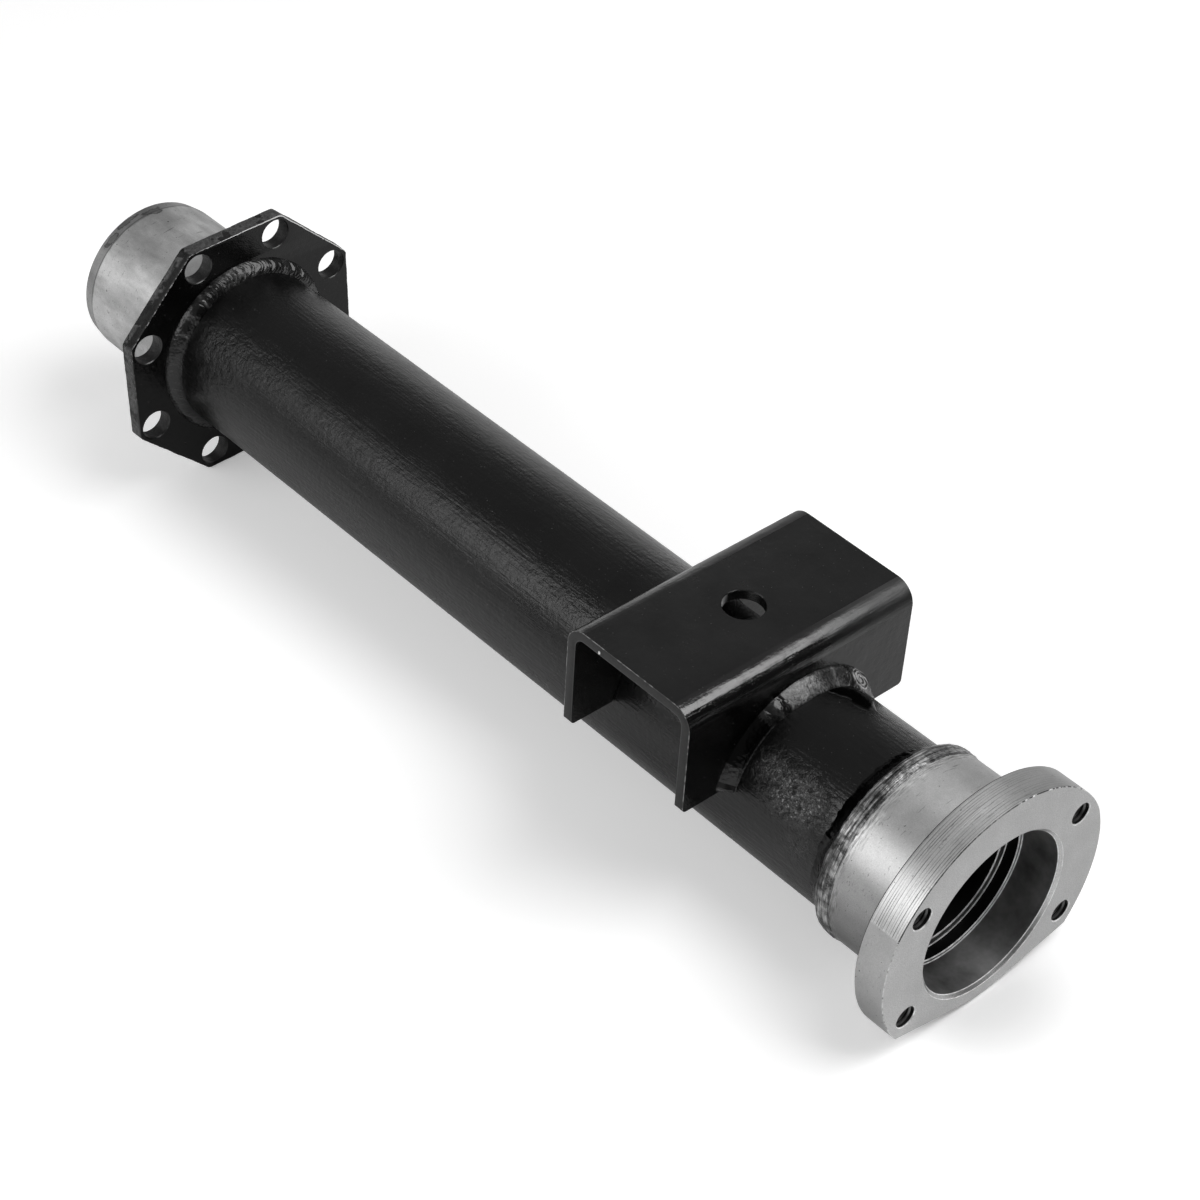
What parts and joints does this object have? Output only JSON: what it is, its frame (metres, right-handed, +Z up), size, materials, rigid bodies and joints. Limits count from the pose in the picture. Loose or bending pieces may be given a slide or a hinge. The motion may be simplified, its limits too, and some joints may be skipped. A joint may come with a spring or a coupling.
{
  "type": "axle housing",
  "caption": "Welded tube axle housing with an octagonal bolt flange, a folded spring perch, a turned spigot and a bored bearing housing end.",
  "frame": {"origin": "centre of the bearing bore in the bearing housing's bolt face", "axes": "+X along the axle and out of the bearing bore, +Z up through the spring pad"},
  "size_m": [0.533, 0.121, 0.121],
  "materials": {
    "tube_paint": "satin black paint over drawn steel tube, with a bare turned spigot at the far end",
    "flange_paint": "satin black paint, rough cut edges with paint worn to grey",
    "perch_paint": "satin black paint, rubbed bright along the fold",
    "machined_steel": "turned and ground bare steel",
    "painted_weld": "rippled weld bead under black paint",
    "bare_weld": "rippled bare weld bead, partly blackened"
  },
  "bodies": {
    "root": {"axle_tube": "tube_paint", "mounting_flange": "flange_paint", "spring_perch": "perch_paint", "bearing_housing": "machined_steel", "flange_weld": "painted_weld", "perch_weld_front": "painted_weld", "perch_weld_rear": "painted_weld", "housing_weld": "bare_weld"}
  },
  "joints": []
}
